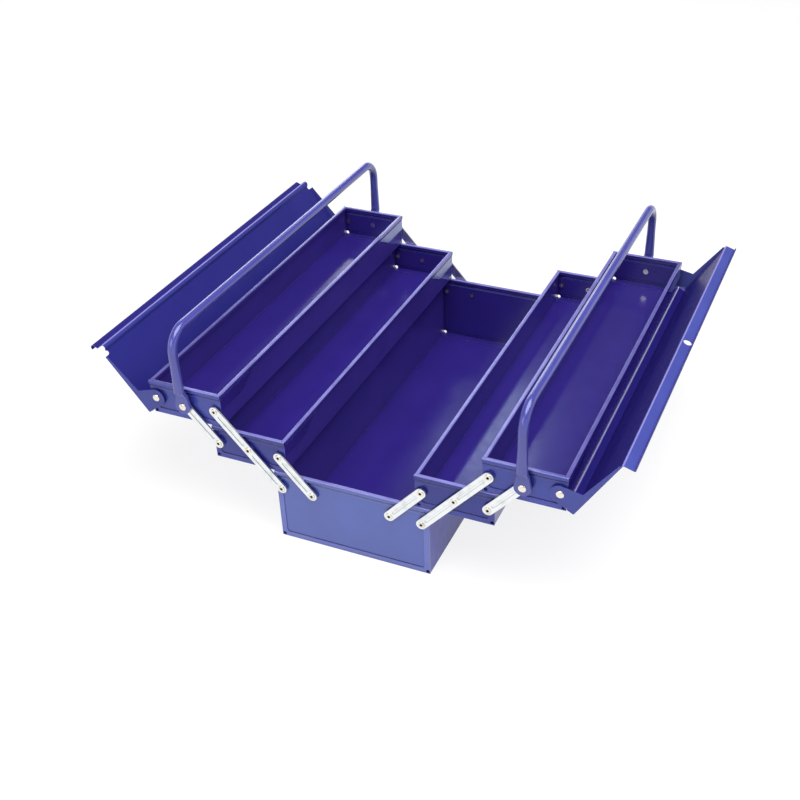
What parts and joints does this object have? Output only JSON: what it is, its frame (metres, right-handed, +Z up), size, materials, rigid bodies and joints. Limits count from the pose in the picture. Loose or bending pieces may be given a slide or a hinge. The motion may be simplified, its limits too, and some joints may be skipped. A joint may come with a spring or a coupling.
{
  "type": "cantilever tool box",
  "caption": "Sheet-steel cantilever tool box, opened: trays step out over a deep base on riveted links, with a folding lid and a bent-tube handle on each upper tray.",
  "frame": {"origin": "middle of the underside of the base", "axes": "+X across the box to the right-hand trays, +Y along the box to its rear end, +Z up"},
  "size_m": [0.681, 0.5562, 0.276],
  "materials": {
    "paint": "gloss violet-blue enamel on sheet steel and tube",
    "zinc": "bright zinc plate",
    "rivet": "bright plate with a warm, brassy tint"
  },
  "bodies": {
    "base": {"base_shell": "paint", "base_end_front": "paint", "base_end_rear": "paint", "base_rivets": "rivet"},
    "left_long_links": {"left_long_link_front": "zinc", "left_long_link_rear": "zinc"},
    "left_lower_links": {"left_lower_link_front": "zinc", "left_lower_link_rear": "zinc"},
    "left_mid_tray": {"left_mid_shell": "paint", "left_mid_end_front": "paint", "left_mid_end_rear": "paint", "left_mid_rivets": "rivet"},
    "left_upper_links": {"left_upper_link_front": "zinc", "left_upper_link_rear": "zinc"},
    "left_upper_tray": {"left_upper_shell": "paint", "left_upper_end_front": "paint", "left_upper_end_rear": "paint", "left_upper_rivets": "rivet", "left_hinge_rivets": "rivet", "left_handle_rivets": "rivet"},
    "left_lid": {"left_lid": "paint"},
    "left_handle": {"left_handle": "paint"},
    "right_long_links": {"right_long_link_front": "zinc", "right_long_link_rear": "zinc"},
    "right_lower_links": {"right_lower_link_front": "zinc", "right_lower_link_rear": "zinc"},
    "right_mid_tray": {"right_mid_shell": "paint", "right_mid_end_front": "paint", "right_mid_end_rear": "paint", "right_mid_rivets": "rivet"},
    "right_upper_links": {"right_upper_link_front": "zinc", "right_upper_link_rear": "zinc"},
    "right_upper_tray": {"right_upper_shell": "paint", "right_upper_end_front": "paint", "right_upper_end_rear": "paint", "right_upper_rivets": "rivet", "right_hinge_rivets": "rivet", "right_handle_rivets": "rivet"},
    "right_lid": {"right_lid": "paint"},
    "right_handle": {"right_handle": "paint"}
  },
  "joints": [
    {"name": "left_swing", "type": "hinge", "parent": "base", "child": "left_long_links", "pos_m": [-0.092, 0, 0.07725], "axis": [0, 1, 0], "range_deg": [0, 83.42]},
    {"name": "left_lower_turn", "type": "hinge", "parent": "base", "child": "left_lower_links", "pos_m": [-0.051, 0, 0.07725], "axis": [0, 1, 0], "range_deg": [0, 83.42]},
    {"name": "left_mid_level", "type": "hinge", "parent": "left_long_links", "child": "left_mid_tray", "pos_m": [-0.133, 0, 0.12325], "axis": [0, 1, 0], "range_deg": [-83.42, 0]},
    {"name": "left_upper_level", "type": "hinge", "parent": "left_long_links", "child": "left_upper_tray", "pos_m": [-0.174, 0, 0.16925], "axis": [0, 1, 0], "range_deg": [-83.42, 0]},
    {"name": "left_upper_turn", "type": "hinge", "parent": "left_mid_tray", "child": "left_upper_links", "pos_m": [-0.174, 0, 0.12325], "axis": [0, 1, 0], "range_deg": [0, 83.42]},
    {"name": "left_lid_turn", "type": "hinge", "parent": "left_upper_tray", "child": "left_lid", "pos_m": [-0.256, 0, 0.16925], "axis": [0, 1, 0], "range_deg": [0, 125]},
    {"name": "left_handle_turn", "type": "hinge", "parent": "left_upper_tray", "child": "left_handle", "pos_m": [-0.215, 0, 0.16925], "axis": [0, 1, 0], "range_deg": [-60, 26]},
    {"name": "right_swing", "type": "hinge", "parent": "base", "child": "right_long_links", "pos_m": [0.092, 0, 0.07725], "axis": [0, -1, 0], "range_deg": [0, 83.42]},
    {"name": "right_lower_turn", "type": "hinge", "parent": "base", "child": "right_lower_links", "pos_m": [0.051, 0, 0.07725], "axis": [0, -1, 0], "range_deg": [0, 83.42]},
    {"name": "right_mid_level", "type": "hinge", "parent": "right_long_links", "child": "right_mid_tray", "pos_m": [0.133, 0, 0.12325], "axis": [0, -1, 0], "range_deg": [-83.42, 0]},
    {"name": "right_upper_level", "type": "hinge", "parent": "right_long_links", "child": "right_upper_tray", "pos_m": [0.174, 0, 0.16925], "axis": [0, -1, 0], "range_deg": [-83.42, 0]},
    {"name": "right_upper_turn", "type": "hinge", "parent": "right_mid_tray", "child": "right_upper_links", "pos_m": [0.174, 0, 0.12325], "axis": [0, -1, 0], "range_deg": [0, 83.42]},
    {"name": "right_lid_turn", "type": "hinge", "parent": "right_upper_tray", "child": "right_lid", "pos_m": [0.256, 0, 0.16925], "axis": [0, -1, 0], "range_deg": [0, 120]},
    {"name": "right_handle_turn", "type": "hinge", "parent": "right_upper_tray", "child": "right_handle", "pos_m": [0.215, 0, 0.16925], "axis": [0, -1, 0], "range_deg": [-60, 26]}
  ],
  "couplings": [
    {"joint": "left_lower_turn", "follows": "left_swing", "ratio": 1},
    {"joint": "left_mid_level", "follows": "left_swing", "ratio": -1},
    {"joint": "left_upper_level", "follows": "left_swing", "ratio": -1},
    {"joint": "left_upper_turn", "follows": "left_swing", "ratio": 1},
    {"joint": "right_lower_turn", "follows": "right_swing", "ratio": 1},
    {"joint": "right_mid_level", "follows": "right_swing", "ratio": -1},
    {"joint": "right_upper_level", "follows": "right_swing", "ratio": -1},
    {"joint": "right_upper_turn", "follows": "right_swing", "ratio": 1}
  ]
}
